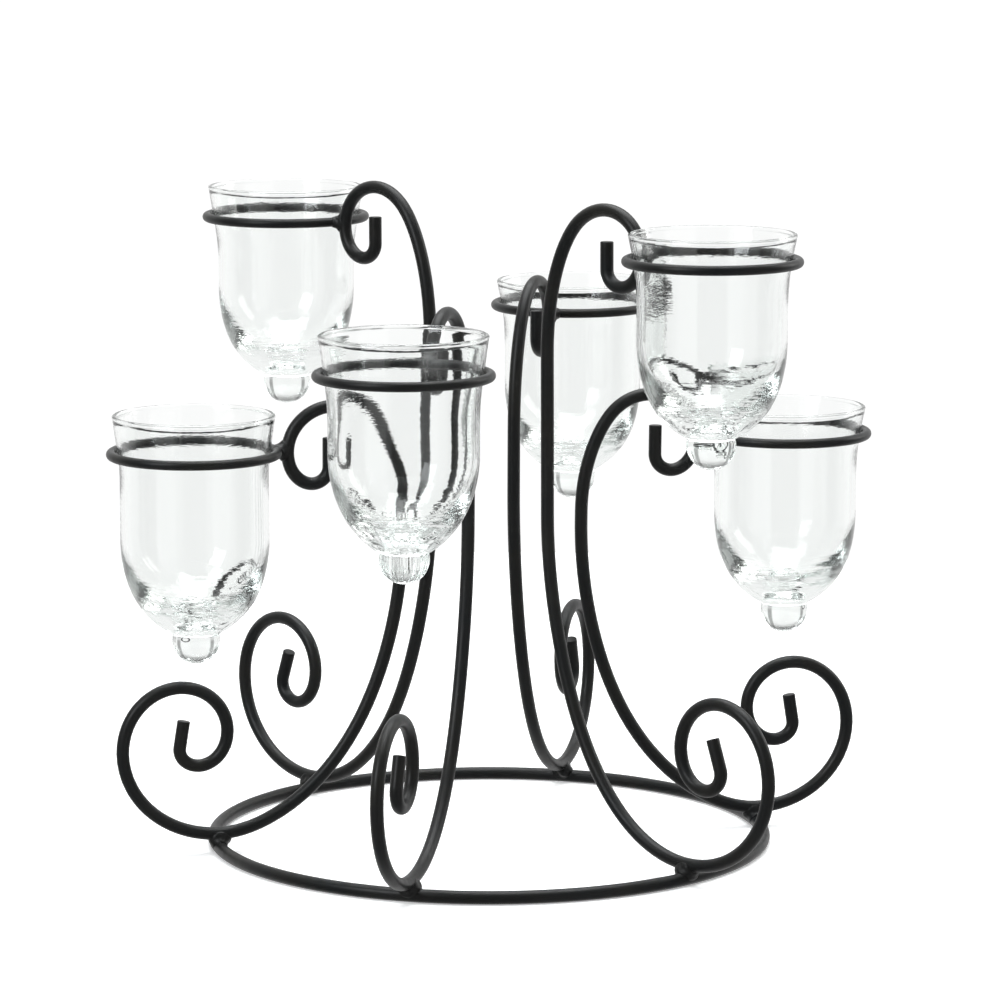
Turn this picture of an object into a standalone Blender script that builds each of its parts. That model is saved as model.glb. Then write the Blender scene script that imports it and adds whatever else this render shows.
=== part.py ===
"""A tabletop candle stand: six arms of bent round iron bar that hold glass cups at three heights.

Metres, with +Z up. The origin is on the table top, on the stand's upright axis, and arm 1 lies along +X.
Each arm is one bar bent in its own upright plane through that axis. A place in that plane is its reach
(how far out from the axis) and its height above the table.
"""
import math

import bmesh
import bpy
from mathutils import Matrix, Vector
from mathutils.geometry import interpolate_bezier

MM = 0.001

# Bars and rings
GAP = 0.3 * MM                   # left between pieces that touch or are welded on the real stand
BAR_RADIUS = 3.0 * MM            # 6 mm round bar: the base ring and the arms
WIRE_RADIUS = 2.2 * MM           # 4.4 mm wire: the cup rings
BASE_RING_RADIUS = 128.2 * MM    # to the bar's centre
CUP_RING_RADIUS = 37.8 * MM      # to the wire's centre
SIDES = 8                        # flats round every bar and wire
BASE_RING_STEPS = 48
CUP_RING_STEPS = 24
CHORD_SAG = 0.6 * MM             # how far a chord may cut inside the true curve of an arm
FINE_STEPS = 8                   # steps along each chord's arc, over which its radius changes

# An arm lies over the base ring at its foot and is level there.
FOOT_REACH = BASE_RING_RADIUS
FOOT_HEIGHT = 3.0 * BAR_RADIUS + GAP

# Bends are bar radii in mm at a number of degrees turned. Between two of them the radius changes evenly.
SCROLL_BENDS = ((0, 56), (90, 37), (180, 25.5), (270, 21.5), (360, 11.7))
SCROLL_END_RADIUS = 6.5
SCROLL_TIP = 14.0 * MM
TALL_BENDS = {
    "foot": ((0, 57), (30, 65), (60, 124), (75, 270), (90, 200)),
    "crown": ((0, 144), (20, 89), (45, 29.5), (90, 25.3), (180, 17)),
    "hook": ((0, 17), (90, 10.6), (180, 6.2)),
}
SHORT_BENDS = {
    "foot": ((0, 36), (30, 80), (60, 125), (75, 205), (90, 210)),
    "crown": ((0, 94), (20, 80), (45, 24.5), (90, 23), (180, 20)),
    "hook": ((0, 20), (90, 8), (180, 7.5)),
}
SHORT = {"bends": SHORT_BENDS, "hook_tip": 13.5 * MM, "scroll_size": 0.914, "scroll_turn": 459}
TALL = {"bends": TALL_BENDS, "hook_tip": 12.5 * MM, "scroll_size": 1.0, "scroll_turn": 470}

# The arms stand a sixth of a turn apart. They are bent and welded by hand and the cups are blown by hand,
# so each arm is a little off. "riser" is its straight upright stretch in mm, "swing" is degrees round the
# axis, "lean" is the stem's degrees outwards, and "perch" is how many mm above the hook's outermost place its
# ring is welded. A cup has its "rise" above its ring, its "drop" below it, its "girth" (the barrel's radius)
# and its "belly" (how far out the bowl keeps on its way down to the neck), all in mm.
ARMS = (
    {"shape": SHORT, "riser": 4.5, "swing": -2.5, "lean": 0.7, "perch": 1.5,
     "rise": 13.0, "drop": 94.5, "girth": 33.2, "belly": 26.5},
    {"shape": TALL, "riser": 27.2, "swing": 0.0, "lean": 0.8, "perch": 1.8,
     "rise": 12.5, "drop": 95.5, "girth": 33.3, "belly": 26.5},
    {"shape": TALL, "riser": 74.4, "swing": -0.5, "lean": 0.3, "perch": 1.6,
     "rise": 15.0, "drop": 90.5, "girth": 32.6, "belly": 26.5},
    {"shape": SHORT, "riser": 4.4, "swing": 0.0, "lean": -0.4, "perch": 1.1,
     "rise": 18.0, "drop": 97.0, "girth": 34.0, "belly": 26.5},
    {"shape": TALL, "riser": 31.0, "swing": 0.6, "lean": -1.7, "perch": -0.6,
     "rise": 18.0, "drop": 91.5, "girth": 33.1, "belly": 24.5},
    {"shape": TALL, "riser": 74.5, "swing": 0.5, "lean": -0.2, "perch": 1.5,
     "rise": 12.5, "drop": 92.0, "girth": 33.2, "belly": 26.5},
)

# Welds: half sizes along the reach, along the ring and upwards. A base weld is fuller inside the ring.
BASE_WELD_HALF = (7.0 * MM, 6.0 * MM, 4.2 * MM)
BASE_WELD_INSET = 1.0 * MM
HOOK_WELD_HALF = (2.9 * MM, 5.0 * MM, 5.0 * MM)

# Glass cup: radii, and heights above the knob's lowest point
CUP_STEPS = 20
RIM_RADIUS = 37.2 * MM
RING_LEVEL_RADIUS = 34.8 * MM    # outside, where the cup passes through its ring
RIM_WALL = 1.8 * MM
BARREL_WALL = 2.3 * MM
RIM_ROUND = 0.8 * MM
KNOB_RADIUS = 11.0 * MM
NECK_HEIGHT = 14.0 * MM
SEAT_HEIGHT = 21.0 * MM
SEAT_RADIUS = 8.0 * MM
BARREL_FOOT_HEIGHT = 57.0 * MM
BARREL_TOP_DROP = 22.0 * MM      # below the ring, where the barrel's straight part starts
FLARE_POINTS = 3
BARREL_POINTS = 3
BOWL_POINTS = 5
KNOB_STEPS = 3


def clear_scene():
    for obj in list(bpy.data.objects):
        bpy.data.objects.remove(obj, do_unlink=True)


def collection(name):
    made = bpy.data.collections.new(name)
    bpy.context.scene.collection.children.link(made)
    return made


def material(name, colour, roughness, metallic, transmission=0.0):
    made = bpy.data.materials.new(name)
    made.use_nodes = True
    shader = made.node_tree.nodes["Principled BSDF"]
    shader.inputs["Base Color"].default_value = (*colour, 1.0)
    shader.inputs["Roughness"].default_value = roughness
    shader.inputs["Metallic"].default_value = metallic
    shader.inputs["Transmission Weight"].default_value = transmission
    return made


def add_part(name, data, parent=None, location=(0.0, 0.0, 0.0)):
    obj = bpy.data.objects.new(name, data)
    PARTS.objects.link(obj)
    obj.parent = parent
    obj.location = location
    return obj


def add_cutter(name, data, parent=None, location=(0.0, 0.0, 0.0)):
    obj = bpy.data.objects.new(name, data)
    CUTTERS.objects.link(obj)
    obj.parent = parent
    obj.location = location
    obj.hide_render = True
    obj.display_type = "WIRE"
    return obj


# ---- The centreline of an arm, in its own plane ----

def follow_bend(place, bends, scale, side, points):
    """Carry a bar round a bend, from place = (reach, height, heading), and add the points that it needs."""
    reach, height, heading = place
    for (turn_a, radius_a), (turn_b, radius_b) in zip(bends, bends[1:]):
        mean_radius = math.sqrt(radius_a * radius_b) * scale * MM
        turn = math.radians(turn_b - turn_a)
        chords = math.ceil(turn / math.sqrt(8.0 * CHORD_SAG / mean_radius))
        fine_steps = chords * FINE_STEPS
        for step in range(1, fine_steps + 1):
            ratio = (step - 0.5) / fine_steps
            radius = radius_a * (radius_b / radius_a) ** ratio * scale * MM
            half_turn = 0.5 * turn / fine_steps
            heading += side * half_turn
            reach += 2.0 * radius * math.sin(half_turn) * math.cos(heading)
            height += 2.0 * radius * math.sin(half_turn) * math.sin(heading)
            heading += side * half_turn
            if step % FINE_STEPS == 0:
                points.append((reach, height))
    return reach, height, heading


def follow_straight(place, length, points):
    reach, height, heading = place
    reach += length * math.cos(heading)
    height += length * math.sin(heading)
    points.append((reach, height))
    return reach, height, heading


def scroll_points(shape):
    """The scroll: out from the foot, up, and round anticlockwise into the spiral's straight tip."""
    points = []
    bends = SCROLL_BENDS + ((shape["scroll_turn"], SCROLL_END_RADIUS),)
    place = (FOOT_REACH, FOOT_HEIGHT, 0.0)
    place = follow_bend(place, bends, shape["scroll_size"], 1, points)
    follow_straight(place, SCROLL_TIP * shape["scroll_size"], points)
    return points


def stem_points(shape, riser, lean):
    """The stem: in from the foot, up the riser, over the crown and round the hook to its straight tip.

    The whole stem leans outwards about the foot. Also gives the hook's outermost place, where the crown ends
    and the hook begins, which is by the cup ring's weld.
    """
    points = []
    bends = shape["bends"]
    place = (FOOT_REACH, FOOT_HEIGHT, math.pi)
    place = follow_bend(place, bends["foot"], 1.0, -1, points)
    place = follow_straight(place, riser, points)
    place = follow_bend(place, bends["crown"], 1.0, -1, points)
    crown_end = len(points) - 1
    place = follow_bend(place, bends["hook"], 1.0, -1, points)
    follow_straight(place, shape["hook_tip"], points)
    foot = Vector((FOOT_REACH, FOOT_HEIGHT))
    upright = Matrix.Rotation(-lean, 2)
    leaning = [foot + upright @ (Vector(point) - foot) for point in points]
    return [(point.x, point.y) for point in leaning], tuple(leaning[crown_end])


def bar_curve(name, points, radius):
    """A bar of eight flats, each at the given radius, with one flat facing out of the bend."""
    curve = bpy.data.curves.new(name, "CURVE")
    curve.dimensions = "3D"
    curve.bevel_depth = radius / math.cos(math.pi / SIDES)
    curve.bevel_resolution = (SIDES - 4) // 2
    curve.use_fill_caps = True
    spline = curve.splines.new("POLY")
    spline.points.add(len(points) - 1)
    for point, (reach, height) in zip(spline.points, points):
        point.co = (reach, 0.0, height, 1.0)
        point.tilt = math.pi / SIDES
    return curve


def closed_mesh(curve):
    """The curve as a mesh with its end caps welded on, so that it can cut."""
    holder = bpy.data.objects.new(curve.name, curve)
    bpy.context.scene.collection.objects.link(holder)
    depsgraph = bpy.context.evaluated_depsgraph_get()
    mesh = bpy.data.meshes.new_from_object(holder.evaluated_get(depsgraph))
    bpy.data.objects.remove(holder)
    shell = bmesh.new()
    shell.from_mesh(mesh)
    bmesh.ops.remove_doubles(shell, verts=shell.verts, dist=0.01 * MM)
    shell.to_mesh(mesh)
    shell.free()
    return mesh


# ---- Turned shapes ----

def profile_mesh(name, profile, closed):
    mesh = bpy.data.meshes.new(name)
    last = len(profile) - 1
    edges = [(index, index + 1) for index in range(last)]
    if closed:
        edges.append((last, 0))
    mesh.from_pydata([(reach, 0.0, height) for reach, height in profile], edges, [])
    return mesh


def turn(obj, steps):
    screw = obj.modifiers.new("turn", "SCREW")
    screw.steps = steps
    screw.render_steps = steps
    screw.use_merge_vertices = True
    screw.merge_threshold = 0.01 * MM
    screw.use_smooth_shade = True
    return obj


def ring_mesh(name, ring_radius, bar_radius):
    """The section of a ring's bar, with flats facing up, down, in and out at the bar's radius."""
    corner_radius = bar_radius / math.cos(math.pi / SIDES)
    profile = []
    for side in range(SIDES):
        angle = -2.0 * math.pi * (side + 0.5) / SIDES
        profile.append((ring_radius + corner_radius * math.cos(angle), corner_radius * math.sin(angle)))
    return profile_mesh(name, profile, closed=True)


def curve_between(start, start_handle, end_handle, end, count):
    corners = [Vector((reach, height)) for reach, height in (start, start_handle, end_handle, end)]
    return [(point.x, point.y) for point in interpolate_bezier(*corners, count)]


def cup_profile(rise, drop, girth, belly):
    """Up the inside from the candle seat, over the rim, down the outside and round the knob.

    Heights are measured from the cup ring's plane: the rim is at rise and the knob ends at -drop.
    """
    barrel_foot = BARREL_FOOT_HEIGHT - drop
    seat = SEAT_HEIGHT - drop
    neck = NECK_HEIGHT - drop
    knob_centre = KNOB_RADIUS - drop
    inner_barrel = girth - BARREL_WALL
    inner_ring_level = RING_LEVEL_RADIUS - RIM_WALL
    inner_bowl = curve_between(
        (SEAT_RADIUS, seat), (16.0 * MM, seat + 5.0 * MM),
        (inner_barrel - 0.4 * MM, barrel_foot - 22.0 * MM), (inner_barrel, barrel_foot), BOWL_POINTS)
    inner_barrel_wall = curve_between(
        (inner_barrel, -BARREL_TOP_DROP), (inner_barrel, -0.6 * BARREL_TOP_DROP),
        (inner_ring_level - 1.2 * MM, -8.0 * MM), (inner_ring_level, 0.0), BARREL_POINTS)
    outer_flare = curve_between(
        (RIM_RADIUS, rise - RIM_ROUND), (RIM_RADIUS - 0.9 * MM, 0.6 * rise),
        (RING_LEVEL_RADIUS + 0.7 * MM, 0.3 * rise), (RING_LEVEL_RADIUS, 0.0), FLARE_POINTS)
    inner_flare = [(radius - RIM_WALL, height) for radius, height in reversed(outer_flare)]
    outer_barrel_wall = curve_between(
        (RING_LEVEL_RADIUS, 0.0), (RING_LEVEL_RADIUS - 1.2 * MM, -8.0 * MM),
        (girth, -0.6 * BARREL_TOP_DROP), (girth, -BARREL_TOP_DROP), BARREL_POINTS)
    neck_radius = math.sqrt(KNOB_RADIUS ** 2 - (neck - knob_centre) ** 2)
    outer_bowl = curve_between(
        (girth, barrel_foot), (girth - 0.3 * MM, barrel_foot - 20.0 * MM),
        (belly, neck + 8.0 * MM), (neck_radius, neck), BOWL_POINTS)
    knob = []
    neck_angle = math.asin((neck - knob_centre) / KNOB_RADIUS)
    for step in range(1, KNOB_STEPS):
        angle = neck_angle - (neck_angle + 0.5 * math.pi) * step / KNOB_STEPS
        knob.append((KNOB_RADIUS * math.cos(angle), knob_centre + KNOB_RADIUS * math.sin(angle)))
    inside = [(0.0, seat)] + inner_bowl + inner_barrel_wall + inner_flare[1:]
    rim = [(RIM_RADIUS - 0.5 * RIM_WALL, rise)]
    outside = outer_flare + outer_barrel_wall[1:] + outer_bowl + knob + [(0.0, -drop)]
    return inside + rim + outside


# ---- Pieces ----

def weld(name, parent, location, half_size, cutters):
    """A bead of weld between two bars, hollowed where the bars lie in it."""
    bead = bmesh.new()
    bmesh.ops.create_icosphere(bead, subdivisions=2, radius=1.0)
    bmesh.ops.scale(bead, vec=half_size, verts=bead.verts)
    mesh = bpy.data.meshes.new(name)
    bead.to_mesh(mesh)
    bead.free()
    mesh.materials.append(IRON)
    obj = add_part(name, mesh, parent, location)
    for cutter in cutters:
        cut = obj.modifiers.new("clear_" + cutter.name, "BOOLEAN")
        cut.operation = "DIFFERENCE"
        cut.object = cutter
    return obj


def base_ring():
    mesh = ring_mesh("base_ring", BASE_RING_RADIUS, BAR_RADIUS)
    mesh.materials.append(IRON)
    turn(add_part("base_ring", mesh, location=(0.0, 0.0, BAR_RADIUS)), BASE_RING_STEPS)
    cutter_mesh = ring_mesh("base_ring_clearance", BASE_RING_RADIUS, BAR_RADIUS + GAP)
    cutter = add_cutter("base_ring_clearance", cutter_mesh, location=(0.0, 0.0, BAR_RADIUS))
    return turn(cutter, BASE_RING_STEPS)


def glass_cup(name, design, parent, location):
    sizes = [design[size] * MM for size in ("rise", "drop", "girth", "belly")]
    mesh = profile_mesh(name, cup_profile(*sizes), closed=False)
    mesh.materials.append(GLASS)
    return turn(add_part(name, mesh, parent, location), CUP_STEPS)


def arm_set(number, design, cup_ring_mesh, cup_ring_cutter_mesh, base_ring_cutter):
    """One arm with its two welds, cup ring and glass cup, all placed in the arm's own plane."""
    plane = bpy.data.objects.new(f"arm_plane_{number}", None)
    PARTS.objects.link(plane)
    plane.rotation_euler.z = math.radians(60.0 * (number - 1) + design["swing"])

    lean = math.radians(design["lean"])
    stem, (hook_reach, hook_height) = stem_points(design["shape"], design["riser"] * MM, lean)
    ring_height = hook_height + design["perch"] * MM
    centreline = scroll_points(design["shape"])[::-1] + [(FOOT_REACH, FOOT_HEIGHT)] + stem
    arm = bar_curve(f"scroll_arm_{number}", centreline, BAR_RADIUS)
    arm.materials.append(IRON)
    add_part(arm.name, arm, plane)
    clearance = closed_mesh(bar_curve(f"arm_clearance_{number}", centreline, BAR_RADIUS + GAP))
    arm_cutter = add_cutter(f"arm_clearance_{number}", clearance, plane)

    ring_reach = hook_reach + BAR_RADIUS + GAP + WIRE_RADIUS + CUP_RING_RADIUS
    ring_place = (ring_reach, 0.0, ring_height)
    turn(add_part(f"cup_ring_{number}", cup_ring_mesh, plane, ring_place), CUP_RING_STEPS)
    ring_cutter = add_cutter(f"cup_ring_clearance_{number}", cup_ring_cutter_mesh, plane, ring_place)
    turn(ring_cutter, CUP_RING_STEPS)
    glass_cup(f"glass_cup_{number}", design, plane, ring_place)

    base_weld_place = (FOOT_REACH - BASE_WELD_INSET, 0.0, 2.0 * BAR_RADIUS + 0.5 * GAP)
    weld(f"base_weld_{number}", plane, base_weld_place, BASE_WELD_HALF, (arm_cutter, base_ring_cutter))
    hook_weld_place = (hook_reach + BAR_RADIUS + 0.5 * GAP, 0.0, ring_height)
    weld(f"hook_weld_{number}", plane, hook_weld_place, HOOK_WELD_HALF, (arm_cutter, ring_cutter))


clear_scene()
PARTS = collection("scroll_candle_stand")
CUTTERS = collection("cutters")
IRON = material("black_iron", (0.018, 0.018, 0.019), roughness=0.45, metallic=0.0)
GLASS = material("clear_glass", (0.95, 0.97, 0.96), roughness=0.02, metallic=0.0, transmission=1.0)

cup_ring = ring_mesh("cup_ring", CUP_RING_RADIUS, WIRE_RADIUS)
cup_ring.materials.append(IRON)
cup_ring_clearance = ring_mesh("cup_ring_clearance", CUP_RING_RADIUS, WIRE_RADIUS + GAP)

base_ring_clearance = base_ring()
for arm_number, arm_design in enumerate(ARMS, start=1):
    arm_set(arm_number, arm_design, cup_ring, cup_ring_clearance, base_ring_clearance)
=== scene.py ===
import math

import bmesh
import bpy
import numpy as np
from mathutils import Matrix, Vector, noise
from mathutils.geometry import interpolate_bezier


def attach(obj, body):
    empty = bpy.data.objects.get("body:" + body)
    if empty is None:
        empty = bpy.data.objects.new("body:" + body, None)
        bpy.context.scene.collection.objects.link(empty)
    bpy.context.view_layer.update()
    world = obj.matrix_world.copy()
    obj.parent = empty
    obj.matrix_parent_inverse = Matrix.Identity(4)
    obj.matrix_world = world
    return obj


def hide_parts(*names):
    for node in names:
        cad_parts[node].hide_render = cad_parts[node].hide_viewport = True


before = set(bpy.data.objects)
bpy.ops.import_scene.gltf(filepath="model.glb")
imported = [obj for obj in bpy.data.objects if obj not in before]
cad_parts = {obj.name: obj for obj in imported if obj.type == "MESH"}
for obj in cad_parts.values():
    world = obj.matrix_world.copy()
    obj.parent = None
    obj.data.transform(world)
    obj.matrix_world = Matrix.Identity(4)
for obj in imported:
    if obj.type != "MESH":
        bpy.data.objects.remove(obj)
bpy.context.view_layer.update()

# Looks of a tabletop candle stand: bent round iron bar in a satin black coat, and hand-blown glass cups.
# Metres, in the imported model's frame. Each arm lies in an upright plane through the stand's axis, and a
# place in that plane is its reach (how far out from the axis) and its height above the table.

MM = 0.001

# ---- The stand's design, as the frame has it ----
GAP = 0.3 * MM
BAR_RADIUS = 3.0 * MM
WIRE_RADIUS = 2.2 * MM
BASE_RING_RADIUS = 128.2 * MM
CUP_RING_RADIUS = 37.8 * MM
CHORD_SAG = 0.6 * MM
FINE_STEPS = 8
FOOT_REACH = BASE_RING_RADIUS
FOOT_HEIGHT = 3.0 * BAR_RADIUS + GAP

# Bends are bar radii in mm at a number of degrees turned.
SCROLL_BENDS = ((0, 56), (90, 37), (180, 25.5), (270, 21.5), (360, 11.7))
SCROLL_END_RADIUS = 6.5
SCROLL_TIP = 14.0 * MM
TALL_BENDS = {
    "foot": ((0, 57), (30, 65), (60, 124), (75, 270), (90, 200)),
    "crown": ((0, 144), (20, 89), (45, 29.5), (90, 25.3), (180, 17)),
    "hook": ((0, 17), (90, 10.6), (180, 6.2)),
}
SHORT_BENDS = {
    "foot": ((0, 36), (30, 80), (60, 125), (75, 205), (90, 210)),
    "crown": ((0, 94), (20, 80), (45, 24.5), (90, 23), (180, 20)),
    "hook": ((0, 20), (90, 8), (180, 7.5)),
}
SHORT = {"bends": SHORT_BENDS, "hook_tip": 13.5 * MM, "scroll_size": 0.914, "scroll_turn": 459}
TALL = {"bends": TALL_BENDS, "hook_tip": 12.5 * MM, "scroll_size": 1.0, "scroll_turn": 470}
# In mm and degrees: the riser is the straight above the foot, swing is off an even sixth of a turn, lean is
# the stem's, and perch is how far the cup ring is above the hook's outermost place. The cup's rim rises above
# its ring and its knob drops below it, girth is its barrel's radius, and a larger belly makes a fuller bowl.
ARMS = (
    {"shape": SHORT, "riser": 4.5, "swing": -2.5, "lean": 0.7, "perch": 1.5,
     "rise": 13.0, "drop": 94.5, "girth": 33.2, "belly": 26.5},
    {"shape": TALL, "riser": 27.2, "swing": 0.0, "lean": 0.8, "perch": 1.8,
     "rise": 12.5, "drop": 95.5, "girth": 33.3, "belly": 26.5},
    {"shape": TALL, "riser": 74.4, "swing": -0.5, "lean": 0.3, "perch": 1.6,
     "rise": 15.0, "drop": 90.5, "girth": 32.6, "belly": 26.5},
    {"shape": SHORT, "riser": 4.4, "swing": 0.0, "lean": -0.4, "perch": 1.1,
     "rise": 18.0, "drop": 97.0, "girth": 34.0, "belly": 26.5},
    {"shape": TALL, "riser": 31.0, "swing": 0.6, "lean": -1.7, "perch": -0.6,
     "rise": 18.0, "drop": 91.5, "girth": 33.1, "belly": 24.5},
    {"shape": TALL, "riser": 74.5, "swing": 0.5, "lean": -0.2, "perch": 1.5,
     "rise": 12.5, "drop": 92.0, "girth": 33.2, "belly": 26.5},
)

RIM_RADIUS = 37.2 * MM
RING_LEVEL_RADIUS = 34.8 * MM
RIM_WALL = 1.8 * MM
BARREL_WALL = 2.3 * MM
RIM_BEAD = 1.05 * MM             # radius of the fire-polished bead round the rim
RIM_NECK_WALL = 1.5 * MM         # just under the bead
KNOB_RADIUS = 11.0 * MM
NECK_HEIGHT = 14.0 * MM
SEAT_HEIGHT = 21.0 * MM
SEAT_RADIUS = 8.0 * MM
BARREL_FOOT_HEIGHT = 57.0 * MM
BARREL_TOP_DROP = 22.0 * MM

# ---- How finely things are made ----
BAR_SIDES = 24
WIRE_SIDES = 20
EDGE_ROUND = 0.45 * MM           # rounding at a bar's cut end
EDGE_STEPS = 4
MAX_TURN = math.radians(5.0)
MAX_RUN = 3.0 * MM
BASE_RING_STEPS = 240
CUP_RING_STEPS = 120
CUP_STEPS = 128
RIM_STEPS = 12
RIM_START = math.radians(230.0)  # the rim's bead goes round from its inner foot to its outer foot
RIM_TURN = math.radians(280.0)
KNOB_STEPS = 16


# ---- Centrelines ----

def follow_bend(place, bends, scale, side, points):
    """Carry a bar round a bend, from place = (reach, height, heading), and add points along it."""
    reach, height, heading = place
    for (turn_a, radius_a), (turn_b, radius_b) in zip(bends, bends[1:]):
        mean_radius = math.sqrt(radius_a * radius_b) * scale * MM
        turn = math.radians(turn_b - turn_a)
        fine_steps = math.ceil(turn / math.sqrt(8.0 * CHORD_SAG / mean_radius)) * FINE_STEPS
        half_turn = 0.5 * turn / fine_steps
        turned = 0.0
        run = 0.0
        for step in range(1, fine_steps + 1):
            radius = radius_a * (radius_b / radius_a) ** ((step - 0.5) / fine_steps) * scale * MM
            heading += side * half_turn
            reach += 2.0 * radius * math.sin(half_turn) * math.cos(heading)
            height += 2.0 * radius * math.sin(half_turn) * math.sin(heading)
            heading += side * half_turn
            turned += 2.0 * half_turn
            run += 2.0 * half_turn * radius
            if turned >= MAX_TURN or run >= MAX_RUN or step == fine_steps:
                points.append((reach, height))
                turned = 0.0
                run = 0.0
    return reach, height, heading


def follow_straight(place, length, points):
    reach, height, heading = place
    steps = math.ceil(length / MAX_RUN)
    for step in range(steps):
        reach += length / steps * math.cos(heading)
        height += length / steps * math.sin(heading)
        points.append((reach, height))
    return reach, height, heading


def scroll_points(shape):
    points = []
    bends = SCROLL_BENDS + ((shape["scroll_turn"], SCROLL_END_RADIUS),)
    place = (FOOT_REACH, FOOT_HEIGHT, 0.0)
    place = follow_bend(place, bends, shape["scroll_size"], 1, points)
    follow_straight(place, SCROLL_TIP * shape["scroll_size"], points)
    return points


def stem_points(shape, riser, lean):
    """In from the foot, up the riser, over the crown and round the hook, and the hook's outermost place."""
    points = []
    bends = shape["bends"]
    place = (FOOT_REACH, FOOT_HEIGHT, math.pi)
    place = follow_bend(place, bends["foot"], 1.0, -1, points)
    place = follow_straight(place, riser, points)
    place = follow_bend(place, bends["crown"], 1.0, -1, points)
    crown_end = len(points) - 1
    place = follow_bend(place, bends["hook"], 1.0, -1, points)
    follow_straight(place, shape["hook_tip"], points)
    foot = Vector((FOOT_REACH, FOOT_HEIGHT))
    upright = Matrix.Rotation(-lean, 2)
    leaning = [foot + upright @ (Vector(point) - foot) for point in points]
    return [(point.x, point.y) for point in leaning], tuple(leaning[crown_end])


def circle(radius, centre, steps):
    angles = [2.0 * math.pi * step / steps for step in range(steps)]
    return [centre + Vector((radius * math.cos(a), radius * math.sin(a), 0.0)) for a in angles]


# ---- Bars ----

def end_stations(point, outward):
    """Places and shares of the radius lost, from the full bar to the flat of its cut end."""
    stations = []
    for step in range(EDGE_STEPS + 1):
        angle = 0.5 * math.pi * step / EDGE_STEPS
        back = EDGE_ROUND * (1.0 - math.sin(angle))
        lost = EDGE_ROUND * (1.0 - math.cos(angle))
        stations.append((point - outward * back, outward, lost))
    return stations


def swept_bar(name, centres, plane_normal, radius, sides, closed):
    """A round bar along a flat line of centres. Open ends are cut square with a small rounded edge."""
    count = len(centres)
    stations = []
    for index, centre in enumerate(centres):
        before = centres[index - 1] if closed or index > 0 else centre
        after = centres[(index + 1) % count] if closed or index < count - 1 else centre
        stations.append((centre, (after - before).normalized(), 0.0))
    if not closed:
        head = end_stations(centres[0], -stations[0][1])
        tail = end_stations(centres[-1], stations[-1][1])
        head = [(place, -outward, lost) for place, outward, lost in reversed(head)]
        stations = head + stations[1:-1] + tail
    shell = bmesh.new()
    rings = []
    for centre, along, lost in stations:
        across = plane_normal.cross(along)
        ring = []
        for side in range(sides):
            angle = 2.0 * math.pi * side / sides
            offset = across * math.cos(angle) + plane_normal * math.sin(angle)
            ring.append(shell.verts.new(centre + offset * (radius - lost)))
        rings.append(ring)
    pairs = list(zip(rings, rings[1:]))
    if closed:
        pairs.append((rings[-1], rings[0]))
    else:
        shell.faces.new(list(reversed(rings[0])))
        shell.faces.new(rings[-1])
    for ring, following in pairs:
        for side in range(sides):
            other = (side + 1) % sides
            shell.faces.new((ring[side], ring[other], following[other], following[side]))
    return finished_mesh(name, shell)


def finished_mesh(name, shell):
    bmesh.ops.recalc_face_normals(shell, faces=shell.faces)
    for face in shell.faces:
        face.smooth = True
    mesh = bpy.data.meshes.new(name)
    shell.to_mesh(mesh)
    shell.free()
    obj = bpy.data.objects.new(name, mesh)
    bpy.context.scene.collection.objects.link(obj)
    return obj


def placed(obj, plane, body, node, material):
    """Put a piece made in its arm's own plane where the frame has it."""
    obj.data.transform(plane)
    obj.data.materials.append(material)
    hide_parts(node)
    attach(obj, body)
    return obj


# ---- Welds ----

BEAD_DETAIL = 5
BEAD_MARCH = 0.2 * MM            # how finely a bead's skin is looked for along each direction
BEAD_CLOSING = 2.2               # how fast a bead closes past its reach
BEAD_GRAIN = (1.7 * MM, 0.10)    # size of the lumps in a bead's skin, and how far they stand out in mm
BEAD_RIPPLE = (3.6 * MM, 0.28)


def line_distance(places, centres):
    """Distance from each place to a line of centres."""
    nearest = np.full(places.shape[:-1], np.inf)
    for start, end in zip(centres, centres[1:]):
        start = np.array(start)
        along = np.array(end) - start
        share = np.clip(((places - start) @ along) / (along @ along), 0.0, 1.0)
        gap = places - start - share[..., None] * along
        nearest = np.minimum(nearest, np.linalg.norm(gap, axis=-1))
    return nearest


def ring_distance(places, centre, radius):
    """Distance from each place to a level circle."""
    offset = places - np.array(centre)
    sideways = np.linalg.norm(offset[..., :2], axis=-1) - radius
    return np.hypot(sideways, offset[..., 2])


def blended(first, second, width):
    """The smaller of two distances, with the corner between them filled over the given width."""
    near = np.maximum(width - np.abs(first - second), 0.0) / width
    return np.minimum(first, second) - 0.25 * width * near * near


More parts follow.
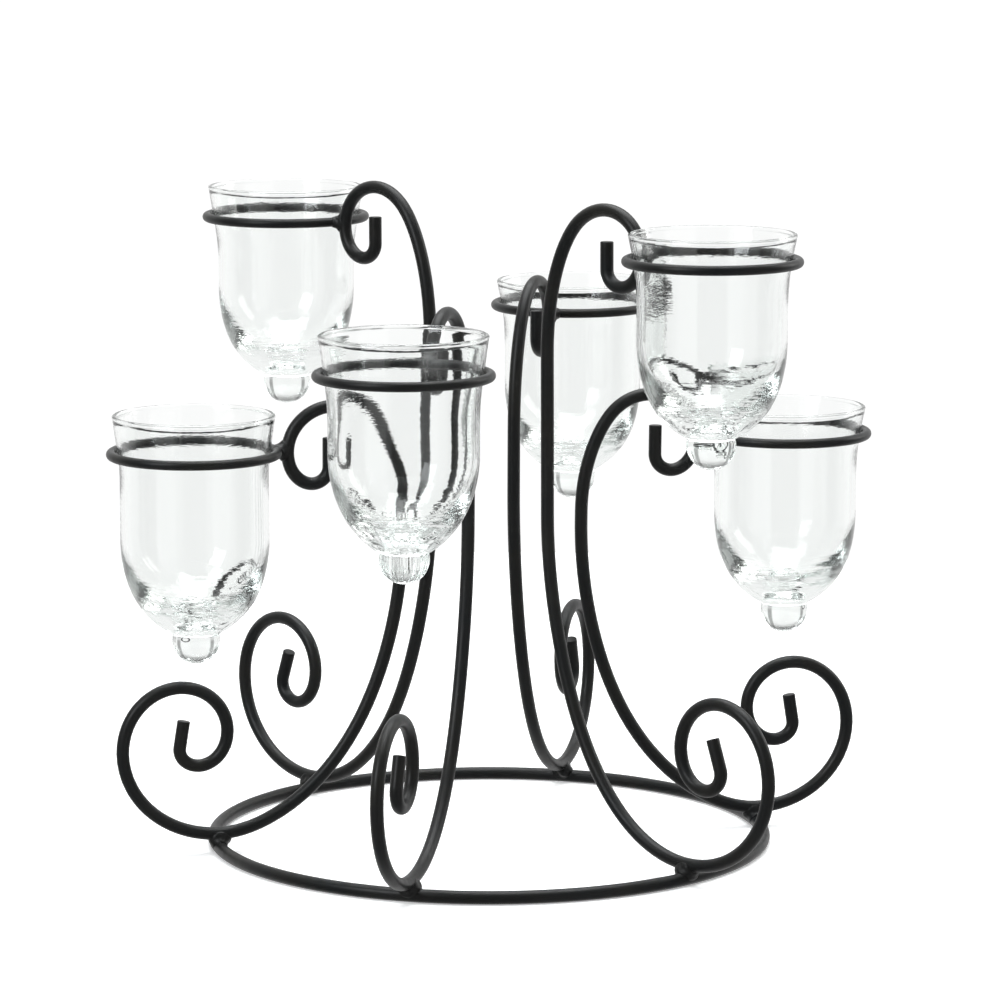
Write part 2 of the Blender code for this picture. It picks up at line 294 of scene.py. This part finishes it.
def bead(name, centre, reach, field, seed):
    """A weld bead: the filled corner between two bars, let into them past its reach."""
    shell = bmesh.new()
    bmesh.ops.create_icosphere(shell, subdivisions=BEAD_DETAIL, radius=1.0)
    directions = np.array([vert.co for vert in shell.verts])
    distances = np.arange(1, int(2.0 * reach / BEAD_MARCH)) * BEAD_MARCH
    places = np.array(centre) + directions[:, None, :] * distances[None, :, None]
    past = np.maximum(distances - reach, 0.0) * BEAD_CLOSING
    values = field(places) + past[None, :]
    outside = values > 0.0
    outside[:, -1] = True
    first = np.maximum(outside.argmax(axis=1), 1)
    rows = np.arange(len(directions))
    low = values[rows, first - 1]
    high = values[rows, first]
    share = np.clip(-low / np.maximum(high - low, 1e-9), 0.0, 1.0)
    lengths = distances[first - 1] + share * BEAD_MARCH
    for vert, direction, length in zip(shell.verts, directions, lengths):
        place = Vector(direction) * float(length)
        grain = noise.noise(place / BEAD_GRAIN[0] + Vector((seed * 7.3, 0.0, 0.0)))
        ripple = noise.noise(place / BEAD_RIPPLE[0] + Vector((0.0, seed * 5.1, 0.0)))
        lump = BEAD_GRAIN[1] * grain + BEAD_RIPPLE[1] * ripple
        vert.co = Vector(centre) + place * (1.0 + lump * MM / max(float(length), MM))
    bmesh.ops.smooth_vert(
        shell, verts=shell.verts, factor=0.5, use_axis_x=True, use_axis_y=True, use_axis_z=True)
    return finished_mesh(name, shell)


BASE_WELD_BLEND = 6.5 * MM
BASE_WELD_REACH = 5.2 * MM
BASE_WELD_INSET = 0.6 * MM
HOOK_WELD_BLEND = 6.0 * MM
HOOK_WELD_REACH = 4.8 * MM
LUMP_BLEND = 2.0 * MM
LUMP_RADIUS = 2.7 * MM           # spare metal inside the base ring, left of one arm and right of the next
LUMP_INSET = 3.4 * MM
LUMP_ASIDE = 2.2 * MM
LUMP_HEIGHT = 2.0 * BAR_RADIUS + 0.4 * MM
NEAR_BASE_WELD = 20.0 * MM       # how much of an arm's line a weld looks at
NEAR_HOOK_WELD = 16.0 * MM
HOOK_WELD_SEEDS = 20             # so that no hook weld shares a base weld's lumps


def base_weld(number, centres):
    centre = (FOOT_REACH - BASE_WELD_INSET, 0.0, 2.0 * BAR_RADIUS + 0.5 * GAP)
    near = [point for point in centres if (point - Vector(centre)).length < NEAR_BASE_WELD]
    side = 1.0 if number % 2 else -1.0
    lump = np.array((FOOT_REACH - LUMP_INSET, side * LUMP_ASIDE, LUMP_HEIGHT))

    def field(places):
        arm = line_distance(places, near) - BAR_RADIUS
        ring = ring_distance(places, (0.0, 0.0, BAR_RADIUS), BASE_RING_RADIUS) - BAR_RADIUS
        corner = blended(arm, ring, BASE_WELD_BLEND)
        spare = np.linalg.norm(places - lump, axis=-1) - LUMP_RADIUS
        return blended(corner, spare, LUMP_BLEND)

    return bead(f"base_weld_bead_{number}", centre, BASE_WELD_REACH, field, number)


def hook_weld(number, centres, ring_place):
    centre = (ring_place.x - CUP_RING_RADIUS - WIRE_RADIUS - 0.5 * GAP, 0.0, ring_place.z)
    near = [point for point in centres if (point - Vector(centre)).length < NEAR_HOOK_WELD]

    def field(places):
        arm = line_distance(places, near) - BAR_RADIUS
        ring = ring_distance(places, ring_place, CUP_RING_RADIUS) - WIRE_RADIUS
        return blended(arm, ring, HOOK_WELD_BLEND)

    return bead(f"hook_weld_bead_{number}", centre, HOOK_WELD_REACH, field, number + HOOK_WELD_SEEDS)


# ---- Glass cups ----

# Unevenness of the glass in mm: level ripples, patches, upright streaks, and the knob's flutes.
CUP_LOOKS = {
    1: {"ripple": 0.05, "facet": 0.11, "streak": 0.03, "flutes": 0.0},
    2: {"ripple": 0.05, "facet": 0.11, "streak": 0.03, "flutes": 0.0},
    3: {"ripple": 0.06, "facet": 0.11, "streak": 0.03, "flutes": 0.0},
    4: {"ripple": 0.05, "facet": 0.12, "streak": 0.03, "flutes": 0.0},
    5: {"ripple": 0.04, "facet": 0.12, "streak": 0.03, "flutes": 0.28},
    6: {"ripple": 0.12, "facet": 0.11, "streak": 0.03, "flutes": 0.0},
}
FLUTES = 16
CELLS_AROUND = 3.6               # noise cells across a cup's radius, for streaks and patches
CELLS_AROUND_RIPPLE = 0.9
STREAK_LENGTH = 60.0 * MM
RIPPLE_LENGTH = 4.2 * MM
CALM_RADIUS = 4.0 * MM           # the unevenness fades away inside this, towards the cup's axis

# Where each unevenness starts or stops, from one height above the knob's lowest place to another
RIPPLES_STOP = (40.0 * MM, 64.0 * MM)
PATCHES_STOP = (24.0 * MM, 40.0 * MM)
FLUTES_START = (0.5 * MM, 5.0 * MM)
FLUTES_STOP = (13.0 * MM, 24.0 * MM)
KNOB_STOPS = (12.0 * MM, 18.0 * MM)
KNOB_SHARE = 0.35                # the knob's share of the ripples and patches
STREAKS_START = (2.0 * MM, 9.0 * MM)         # depths below the rim


def curve_between(start, start_handle, end_handle, end, count):
    corners = [Vector((reach, height)) for reach, height in (start, start_handle, end_handle, end)]
    return [(point.x, point.y) for point in interpolate_bezier(*corners, count)]


def straight_between(start, end, count):
    first, last = Vector(start), Vector(end)
    return [tuple(first.lerp(last, step / (count - 1))) for step in range(count)]


def cup_profile(rise, drop, girth, belly):
    """Up the inside from the candle seat, over the rim, down the outside and round the knob.

    The second and third places of each curve are its handles."""
    barrel_foot = BARREL_FOOT_HEIGHT - drop
    seat = SEAT_HEIGHT - drop
    neck = NECK_HEIGHT - drop
    knob_centre = KNOB_RADIUS - drop
    inner_barrel = girth - BARREL_WALL
    inner_ring_level = RING_LEVEL_RADIUS - RIM_WALL
    seat_floor = straight_between((0.0, seat), (SEAT_RADIUS, seat), 8)
    inner_bowl = curve_between(
        (SEAT_RADIUS, seat), (16.0 * MM, seat + 5.0 * MM),
        (inner_barrel - 0.4 * MM, barrel_foot - 22.0 * MM), (inner_barrel, barrel_foot), 30)
    inner_barrel_side = straight_between((inner_barrel, barrel_foot), (inner_barrel, -BARREL_TOP_DROP), 8)
    inner_shoulder = curve_between(
        (inner_barrel, -BARREL_TOP_DROP), (inner_barrel, -0.6 * BARREL_TOP_DROP),
        (inner_ring_level - 1.2 * MM, -8.0 * MM), (inner_ring_level, 0.0), 12)
    neck_under_rim = rise - 2.0 * RIM_BEAD
    outer_flare = curve_between(
        (RIM_RADIUS - 0.3 * MM, neck_under_rim), (RIM_RADIUS - 0.9 * MM, 0.6 * rise),
        (RING_LEVEL_RADIUS + 0.7 * MM, 0.3 * rise), (RING_LEVEL_RADIUS, 0.0), 10)
    inner_flare = []
    for radius, height in reversed(outer_flare):
        share = height / neck_under_rim
        inner_flare.append((radius - RIM_WALL + (RIM_WALL - RIM_NECK_WALL) * share, height))
    rim = []
    for step in range(RIM_STEPS):
        angle = RIM_START - RIM_TURN * step / (RIM_STEPS - 1)
        rim_radius = RIM_RADIUS - RIM_BEAD + RIM_BEAD * math.cos(angle)
        rim.append((rim_radius, rise - RIM_BEAD + RIM_BEAD * math.sin(angle)))
    outer_shoulder = curve_between(
        (RING_LEVEL_RADIUS, 0.0), (RING_LEVEL_RADIUS - 1.2 * MM, -8.0 * MM),
        (girth, -0.6 * BARREL_TOP_DROP), (girth, -BARREL_TOP_DROP), 12)
    outer_barrel_side = straight_between((girth, -BARREL_TOP_DROP), (girth, barrel_foot), 8)
    neck_radius = math.sqrt(KNOB_RADIUS ** 2 - (neck - knob_centre) ** 2)
    outer_bowl = curve_between(
        (girth, barrel_foot), (girth - 0.3 * MM, barrel_foot - 20.0 * MM),
        (belly, neck + 8.0 * MM), (neck_radius, neck), 34)
    knob = []
    neck_angle = math.asin((neck - knob_centre) / KNOB_RADIUS)
    for step in range(1, KNOB_STEPS):
        angle = neck_angle - (neck_angle + 0.5 * math.pi) * step / KNOB_STEPS
        knob.append((KNOB_RADIUS * math.cos(angle), knob_centre + KNOB_RADIUS * math.sin(angle)))
    inside = seat_floor + inner_bowl[1:] + inner_barrel_side[1:] + inner_shoulder[1:] + inner_flare[1:]
    outside = outer_flare + outer_shoulder[1:] + outer_barrel_side[1:] + outer_bowl[1:] + knob
    return inside, rim, outside, (0.0, -drop)


def smooth_step(low, high, value):
    share = min(max((value - low) / (high - low), 0.0), 1.0)
    return share * share * (3.0 - 2.0 * share)


def glass_relief(angle, above_knob, below_rim, inner, look, seed):
    """How far hand-blown glass stands off its turned shape, outwards from the glass."""
    around = Vector((math.cos(angle), math.sin(angle), 0.0))
    lower = 1.0 - smooth_step(*RIPPLES_STOP, above_knob)
    under_rim = smooth_step(*STREAKS_START, below_rim)
    shift = Vector((seed * 11.7, 3.1 * seed, 50.0 if inner else 0.0))
    streak_up = Vector((0.0, 0.0, above_knob / STREAK_LENGTH))
    ripple_up = Vector((0.0, 0.0, above_knob / RIPPLE_LENGTH))
    streak = noise.noise(around * CELLS_AROUND + streak_up + shift)
    ripple = noise.noise(around * CELLS_AROUND_RIPPLE + ripple_up + shift)
    facet = noise.noise(around * CELLS_AROUND + ripple_up + shift)
    flute = 0.0
    if look["flutes"] and not inner:
        fluted = 1.0 - smooth_step(*FLUTES_STOP, above_knob)
        fluted *= smooth_step(*FLUTES_START, above_knob)
        flute = look["flutes"] * math.cos(FLUTES * angle) * fluted
    knob_share = KNOB_SHARE + (1.0 - KNOB_SHARE) * smooth_step(*KNOB_STOPS, above_knob)
    relief = look["streak"] * streak * under_rim
    deep = 1.0 - smooth_step(*PATCHES_STOP, above_knob)
    relief += (look["ripple"] * ripple * lower + look["facet"] * facet * deep) * knob_share
    return (relief + flute) * MM


def cup_mesh(number, design):
    rise = design["rise"] * MM
    drop = design["drop"] * MM
    inside, rim, outside, tip = cup_profile(rise, drop, design["girth"] * MM, design["belly"] * MM)
    profile = inside + rim + outside + [tip]
    last = len(profile) - 1
    rim_start = len(inside)
    shell = bmesh.new()
    rows = []
    for index, (radius, height) in enumerate(profile):
        if index in (0, last):
            rows.append([shell.verts.new((0.0, 0.0, height))])
            continue
        before = Vector(profile[index - 1])
        after = Vector(profile[index + 1])
        along = (after - before).normalized()
        outward = Vector((-along.y, along.x))
        inner = index < rim_start
        row = []
        for step in range(CUP_STEPS):
            angle = 2.0 * math.pi * step / CUP_STEPS
            relief = glass_relief(angle, height + drop, rise - height, inner, CUP_LOOKS[number], number)
            relief *= min(1.0, radius / CALM_RADIUS)
            place = Vector((radius, height)) + outward * relief
            row.append(shell.verts.new((place.x * math.cos(angle), place.x * math.sin(angle), place.y)))
        rows.append(row)
    for row, following in zip(rows, rows[1:]):
        for step in range(CUP_STEPS):
            other = (step + 1) % CUP_STEPS
            if len(row) == 1:
                shell.faces.new((row[0], following[other], following[step]))
            elif len(following) == 1:
                shell.faces.new((row[step], row[other], following[0]))
            else:
                shell.faces.new((row[step], row[other], following[other], following[step]))
    return finished_mesh(f"blown_glass_cup_{number}", shell)


# ---- Materials ----

def new_material(name):
    made = bpy.data.materials.new(name)
    made.use_nodes = True
    return made, made.node_tree.nodes, made.node_tree.links


def noise_texture(nodes, links, place, scale, detail):
    texture = nodes.new("ShaderNodeTexNoise")
    texture.inputs["Scale"].default_value = scale
    texture.inputs["Detail"].default_value = detail
    links.new(place, texture.inputs["Vector"])
    return texture.outputs["Fac"]


def ramp(nodes, links, value, stops):
    made = nodes.new("ShaderNodeValToRGB")
    elements = made.color_ramp.elements
    elements[0].position, elements[0].color = stops[0][0], (*stops[0][1], 1.0)
    elements[1].position, elements[1].color = stops[-1][0], (*stops[-1][1], 1.0)
    for position, colour in stops[1:-1]:
        elements.new(position).color = (*colour, 1.0)
    links.new(value, made.inputs["Fac"])
    return made.outputs["Color"]


def map_range(nodes, links, value, low, high):
    made = nodes.new("ShaderNodeMapRange")
    made.inputs["To Min"].default_value = low
    made.inputs["To Max"].default_value = high
    links.new(value, made.inputs["Value"])
    return made.outputs["Result"]


def worked(nodes, links, operation, first, second):
    """The result of arithmetic on two values, each a socket or a plain number."""
    made = nodes.new("ShaderNodeMath")
    made.operation = operation
    for socket, value in zip(made.inputs, (first, second)):
        if isinstance(value, (int, float)):
            socket.default_value = value
        else:
            links.new(value, socket)
    return made.outputs["Value"]


def eased(nodes, links, value, low, high, at_low, at_high):
    """A value that goes smoothly from one level to another between two places."""
    made = nodes.new("ShaderNodeMapRange")
    made.interpolation_type = "SMOOTHSTEP"
    for name, number in (("From Min", low), ("From Max", high), ("To Min", at_low), ("To Max", at_high)):
        made.inputs[name].default_value = number
    links.new(value, made.inputs["Value"])
    return made.outputs["Result"]


def bump(nodes, links, height, distance, strength, below=None):
    made = nodes.new("ShaderNodeBump")
    made.inputs["Distance"].default_value = distance
    made.inputs["Strength"].default_value = strength
    links.new(height, made.inputs["Height"])
    if below is not None:
        links.new(below, made.inputs["Normal"])
    return made.outputs["Normal"]


def iron_material():
    """Satin black baked coat: a fine orange peel, and patches that lean to olive and to blue."""
    made, nodes, links = new_material("satin_black_coat")
    shader = nodes["Principled BSDF"]
    place = nodes.new("ShaderNodeTexCoord").outputs["Object"]
    patches = noise_texture(nodes, links, place, scale=38.0, detail=3.0)
    colour = ramp(nodes, links, patches, (
        (0.30, (0.0068, 0.0079, 0.0084)),
        (0.52, (0.0090, 0.0092, 0.0088)),
        (0.72, (0.0117, 0.0114, 0.0095))))
    links.new(colour, shader.inputs["Base Color"])
    mottle = noise_texture(nodes, links, place, scale=260.0, detail=4.0)
    links.new(map_range(nodes, links, mottle, low=0.30, high=0.50), shader.inputs["Roughness"])
    peel = noise_texture(nodes, links, place, scale=1100.0, detail=2.0)
    lumps = noise_texture(nodes, links, place, scale=170.0, detail=2.0)
    normal = bump(nodes, links, lumps, distance=0.10 * MM, strength=0.35)
    normal = bump(nodes, links, peel, distance=0.03 * MM, strength=0.45, below=normal)
    links.new(normal, shader.inputs["Normal"])
    shader.inputs["Metallic"].default_value = 0.0
    shader.inputs["Specular IOR Level"].default_value = 0.23
    return made


COMB_SQUEEZE = (0.14, 0.14, 1.0)             # draws the combing out sideways, so that it lies level
BROAD_COMB_REACH = (0.26, 0.48, 1.0, 0.0)    # full below one share of the cup's height, gone above another


def glass_material():
    """Clear glass with a faint green-grey body. Fine level ripples comb its skin, more in the bowl."""
    made, nodes, links = new_material("clear_blown_glass")
    shader = nodes["Principled BSDF"]
    shader.inputs["Base Color"].default_value = (0.985, 0.995, 0.99, 1.0)
    shader.inputs["Transmission Weight"].default_value = 1.0
    shader.inputs["IOR"].default_value = 1.5
    coordinates = nodes.new("ShaderNodeTexCoord")
    place = coordinates.outputs["Object"]
    haze = noise_texture(nodes, links, place, scale=60.0, detail=3.0)
    links.new(map_range(nodes, links, haze, low=0.0, high=0.02), shader.inputs["Roughness"])
    squeeze = nodes.new("ShaderNodeVectorMath")
    squeeze.operation = "MULTIPLY"
    squeeze.inputs[1].default_value = COMB_SQUEEZE
    links.new(place, squeeze.inputs[0])
    split = nodes.new("ShaderNodeSeparateXYZ")
    links.new(coordinates.outputs["Generated"], split.inputs["Vector"])
    deep = eased(nodes, links, split.outputs["Z"], *BROAD_COMB_REACH)
    squeezed = squeeze.outputs["Vector"]
    fine = noise_texture(nodes, links, squeezed, scale=900.0, detail=2.0)
    broad = noise_texture(nodes, links, squeezed, scale=330.0, detail=2.0)
    broad = worked(nodes, links, "MULTIPLY", broad, deep)
    swell = noise_texture(nodes, links, place, scale=90.0, detail=1.0)
    normal = bump(nodes, links, swell, distance=0.10 * MM, strength=0.12)
    normal = bump(nodes, links, broad, distance=0.35 * MM, strength=0.90, below=normal)
    normal = bump(nodes, links, fine, distance=0.05 * MM, strength=0.55, below=normal)
    links.new(normal, shader.inputs["Normal"])
    body = nodes.new("ShaderNodeVolumeAbsorption")
    body.inputs["Color"].default_value = (0.62, 0.70, 0.66, 1.0)
    body.inputs["Density"].default_value = 9.0
    links.new(body.outputs["Volume"], nodes["Material Output"].inputs["Volume"])
    return made


def floor_material():
    """Matt white paper, lit a little from below so that no shadow shows on it."""
    made, nodes, links = new_material("white_sweep")
    shader = nodes["Principled BSDF"]
    place = nodes.new("ShaderNodeTexCoord").outputs["Object"]
    grain = noise_texture(nodes, links, place, scale=30.0, detail=2.0)
    colour = ramp(nodes, links, grain, ((0.0, (0.90, 0.90, 0.90)), (1.0, (0.92, 0.92, 0.92))))
    links.new(colour, shader.inputs["Base Color"])
    shader.inputs["Roughness"].default_value = 0.9
    shader.inputs["Specular IOR Level"].default_value = 0.0
    shader.inputs["Emission Color"].default_value = (1.0, 1.0, 1.0, 1.0)
    shader.inputs["Emission Strength"].default_value = 0.35
    return made


# ---- Stage, light and camera ----

CAMERA_PLACE = (-0.4954, -2.0585, 0.4951)
CAMERA_HEADING = math.radians(76.33)
CAMERA_DOWN = math.radians(8.99)
CAMERA_LENS = 166.8
FLOOR_RADIUS = 0.8
FLOOR_SIDES = 96
FLAGS = (0.0, 45.0, 112.5, 157.5, 202.5, 247.5, 292.5, 337.5)   # headings, in degrees
FLAG_HALF_WIDTH = 3.0
FLAG_EDGE = 4.0
SOFTBOXES = ((34.0, 14.0), (123.0, 22.0), (214.0, 14.0), (303.0, 22.0))   # headings and half widths
SOFTBOX_EDGE = 5.0
BACKDROP_HEADING = math.radians(76.0)    # where the white backdrop hangs
WORLD_STRENGTH = 1.05

# How bright the studio is from one height or side to another: from, to, brightness at each. A height is the
# upward part of a direction, and a side is how nearly a level direction points at the backdrop.
BENT_OVER_BACKDROP = (0.30, 0.65, 1.0, 0.28)
BENT_OVER_SIDES = (0.06, 0.30, 1.0, 0.0)
BENT_STRAIGHT_DOWN = (-0.92, -0.62, 0.65, 1.0)
BACKDROP_SHARE = (0.55, 0.85, 0.0, 1.0)
FLAG_FOOT = (-0.30, -0.05, 0.0, 1.0)
FLAG_DARKNESS = 0.6
MIRRORED_BACKDROP = (-0.1, 0.6, 0.06, 0.92)
MIRRORED_CEILING = (0.40, 0.85, 0.0, 0.20)
SOFTBOX_TOP = (0.45, 0.60, 0.45, 0.0)


def make_floor():
    """The white sweep. Light that has been through glass or off the iron finds the studio instead of it."""
    shell = bmesh.new()
    bmesh.ops.create_circle(shell, cap_ends=True, segments=FLOOR_SIDES, radius=FLOOR_RADIUS)
    floor = finished_mesh("floor", shell)
    floor.data.materials.append(floor_material())
    floor.visible_transmission = False
    floor.visible_glossy = False


def sector(nodes, links, level_direction, heading, half_width, edge):
    """1 within half_width degrees of a heading, 0 elsewhere, with a soft edge."""
    towards = nodes.new("ShaderNodeVectorMath")
    towards.operation = "DOT_PRODUCT"
    angle = math.radians(heading)
    towards.inputs[1].default_value = (math.cos(angle), math.sin(angle), 0.0)
    links.new(level_direction, towards.inputs[0])
    outside = math.cos(math.radians(half_width + edge))
    inside = math.cos(math.radians(half_width))
    return eased(nodes, links, towards.outputs["Value"], outside, inside, 0.0, 1.0)


def make_world():
    """A white studio. The eye sees plain white. Light bent by the glass also finds a dim ceiling, lower at
    the sides than over the backdrop, and narrow dark flags. Light mirrored on its way finds the backdrop
    and softboxes in a dark room."""
    world = bpy.data.worlds.new("studio")
    bpy.context.scene.world = world
    world.use_nodes = True
    nodes, links = world.node_tree.nodes, world.node_tree.links
    direction = nodes.new("ShaderNodeTexCoord").outputs["Generated"]
    split = nodes.new("ShaderNodeSeparateXYZ")
    links.new(direction, split.inputs["Vector"])
    height = split.outputs["Z"]
    flat = nodes.new("ShaderNodeVectorMath")
    flat.operation = "MULTIPLY"
    flat.inputs[1].default_value = (1.0, 1.0, 0.0)
    links.new(direction, flat.inputs[0])
    level = nodes.new("ShaderNodeVectorMath")
    level.operation = "NORMALIZE"
    links.new(flat.outputs["Vector"], level.inputs[0])
    level_direction = level.outputs["Vector"]

    side = nodes.new("ShaderNodeVectorMath")
    side.operation = "DOT_PRODUCT"
    side.inputs[1].default_value = (math.cos(BACKDROP_HEADING), math.sin(BACKDROP_HEADING), 0.0)
    links.new(level_direction, side.inputs[0])
    backdrop = eased(nodes, links, side.outputs["Value"], *BACKDROP_SHARE)
    over_backdrop = eased(nodes, links, height, *BENT_OVER_BACKDROP)
    over_sides = eased(nodes, links, height, *BENT_OVER_SIDES)
    taller = worked(nodes, links, "SUBTRACT", over_backdrop, over_sides)
    bent = worked(nodes, links, "ADD", over_sides, worked(nodes, links, "MULTIPLY", taller, backdrop))
    bent = worked(nodes, links, "MULTIPLY", bent, eased(nodes, links, height, *BENT_STRAIGHT_DOWN))
    flag_height = eased(nodes, links, height, *FLAG_FOOT)
    for heading in FLAGS:
        flag = sector(nodes, links, level_direction, heading, FLAG_HALF_WIDTH, FLAG_EDGE)
        flag = worked(nodes, links, "MULTIPLY", flag, flag_height)
        shade = worked(nodes, links, "MULTIPLY", flag, -FLAG_DARKNESS)
        bent = worked(nodes, links, "MULTIPLY", bent, worked(nodes, links, "ADD", shade, 1.0))

    mirrored = eased(nodes, links, side.outputs["Value"], *MIRRORED_BACKDROP)
    upper = eased(nodes, links, height, *MIRRORED_CEILING)
    mirrored = worked(nodes, links, "MAXIMUM", mirrored, upper)
    box_height = eased(nodes, links, height, *SOFTBOX_TOP)
    for heading, half_width in SOFTBOXES:
        box = sector(nodes, links, level_direction, heading, half_width, SOFTBOX_EDGE)
        box = worked(nodes, links, "MULTIPLY", box, box_height)
        mirrored = worked(nodes, links, "MAXIMUM", mirrored, box)

    path = nodes.new("ShaderNodeLightPath")
    turns = worked(nodes, links, "MINIMUM", path.outputs["Glossy Depth"], 1.0)
    change = worked(nodes, links, "SUBTRACT", mirrored, bent)
    seen = worked(nodes, links, "ADD", bent, worked(nodes, links, "MULTIPLY", change, turns))
    seen = worked(nodes, links, "MAXIMUM", seen, path.outputs["Is Camera Ray"])
    background = nodes["Background"]
    background.inputs["Color"].default_value = (1.0, 1.0, 1.0, 1.0)
    links.new(worked(nodes, links, "MULTIPLY", seen, WORLD_STRENGTH), background.inputs["Strength"])


def soft_light(name, place, target, size, power, colour):
    data = bpy.data.lights.new(name, "AREA")
    data.shape = "RECTANGLE"
    data.size, data.size_y = size
    data.energy = power
    data.color = colour
    light = bpy.data.objects.new(name, data)
    bpy.context.scene.collection.objects.link(light)
    light.location = place
    light.rotation_euler = (Vector(target) - Vector(place)).to_track_quat("-Z", "Y").to_euler()
    light.visible_camera = False
    return light


def make_lights():
    middle = (0.0, 0.0, 0.1)
    soft_light("overhead_softbox", (0.1, 0.2, 1.7), middle, (1.6, 1.6), 42.0, (0.97, 0.99, 1.0))
    soft_light("left_softbox", (-1.5, -0.9, 1.1), middle, (0.8, 1.0), 18.0, (0.94, 0.97, 1.0))
    soft_light("right_softbox", (1.7, 0.2, 0.9), middle, (0.7, 1.0), 8.0, (1.0, 1.0, 0.98))


def make_camera():
    data = bpy.data.cameras.new("camera")
    data.lens = CAMERA_LENS
    data.sensor_width = 36.0
    data.clip_start = 0.05
    data.clip_end = 50.0
    camera = bpy.data.objects.new("camera", data)
    bpy.context.scene.collection.objects.link(camera)
    camera.location = CAMERA_PLACE
    camera.rotation_euler = (0.5 * math.pi - CAMERA_DOWN, 0.0, CAMERA_HEADING - 0.5 * math.pi)
    bpy.context.scene.camera = camera


# ---- Build ----

def build_arm(number, design, iron, glass):
    plane = Matrix.Rotation(math.radians(60.0 * (number - 1) + design["swing"]), 4, "Z")
    lean = math.radians(design["lean"])
    stem, (hook_reach, hook_height) = stem_points(design["shape"], design["riser"] * MM, lean)
    flat = scroll_points(design["shape"])[::-1] + [(FOOT_REACH, FOOT_HEIGHT)] + stem
    centres = [Vector((reach, 0.0, height)) for reach, height in flat]
    ring_reach = hook_reach + BAR_RADIUS + GAP + WIRE_RADIUS + CUP_RING_RADIUS
    ring_place = Vector((ring_reach, 0.0, hook_height + design["perch"] * MM))

    across = Vector((0.0, 1.0, 0.0))
    arm = swept_bar(f"bent_arm_{number}", centres, across, BAR_RADIUS, BAR_SIDES, closed=False)
    placed(arm, plane, "stand", f"scroll_arm_{number}", iron)
    wire = circle(CUP_RING_RADIUS, ring_place, CUP_RING_STEPS)
    up = Vector((0.0, 0.0, 1.0))
    cup_ring = swept_bar(f"wire_ring_{number}", wire, up, WIRE_RADIUS, WIRE_SIDES, closed=True)
    placed(cup_ring, plane, "stand", f"cup_ring_{number}", iron)
    placed(base_weld(number, centres), plane, "stand", f"base_weld_{number}", iron)
    hook = hook_weld(number, centres, ring_place)
    placed(hook, plane, "stand", f"hook_weld_{number}", iron)
    cup = cup_mesh(number, design)
    cup.data.transform(Matrix.Translation(ring_place))
    placed(cup, plane, f"cup_{number}", f"glass_cup_{number}", glass)
    cup.visible_shadow = False


def main():
    scene = bpy.context.scene
    scene.view_settings.view_transform = "Standard"
    scene.cycles.max_bounces = 36
    scene.cycles.transmission_bounces = 24
    scene.cycles.glossy_bounces = 28
    scene.cycles.sample_clamp_indirect = 6.0
    make_camera()
    iron = iron_material()
    glass = glass_material()
    ring_line = circle(BASE_RING_RADIUS, Vector((0.0, 0.0, BAR_RADIUS)), BASE_RING_STEPS)
    up = Vector((0.0, 0.0, 1.0))
    base_ring = swept_bar("round_base_ring", ring_line, up, BAR_RADIUS, BAR_SIDES, closed=True)
    placed(base_ring, Matrix.Identity(4), "stand", "base_ring", iron)
    for number, design in enumerate(ARMS, start=1):
        build_arm(number, design, iron, glass)
    make_floor()
    make_world()
    make_lights()


main()
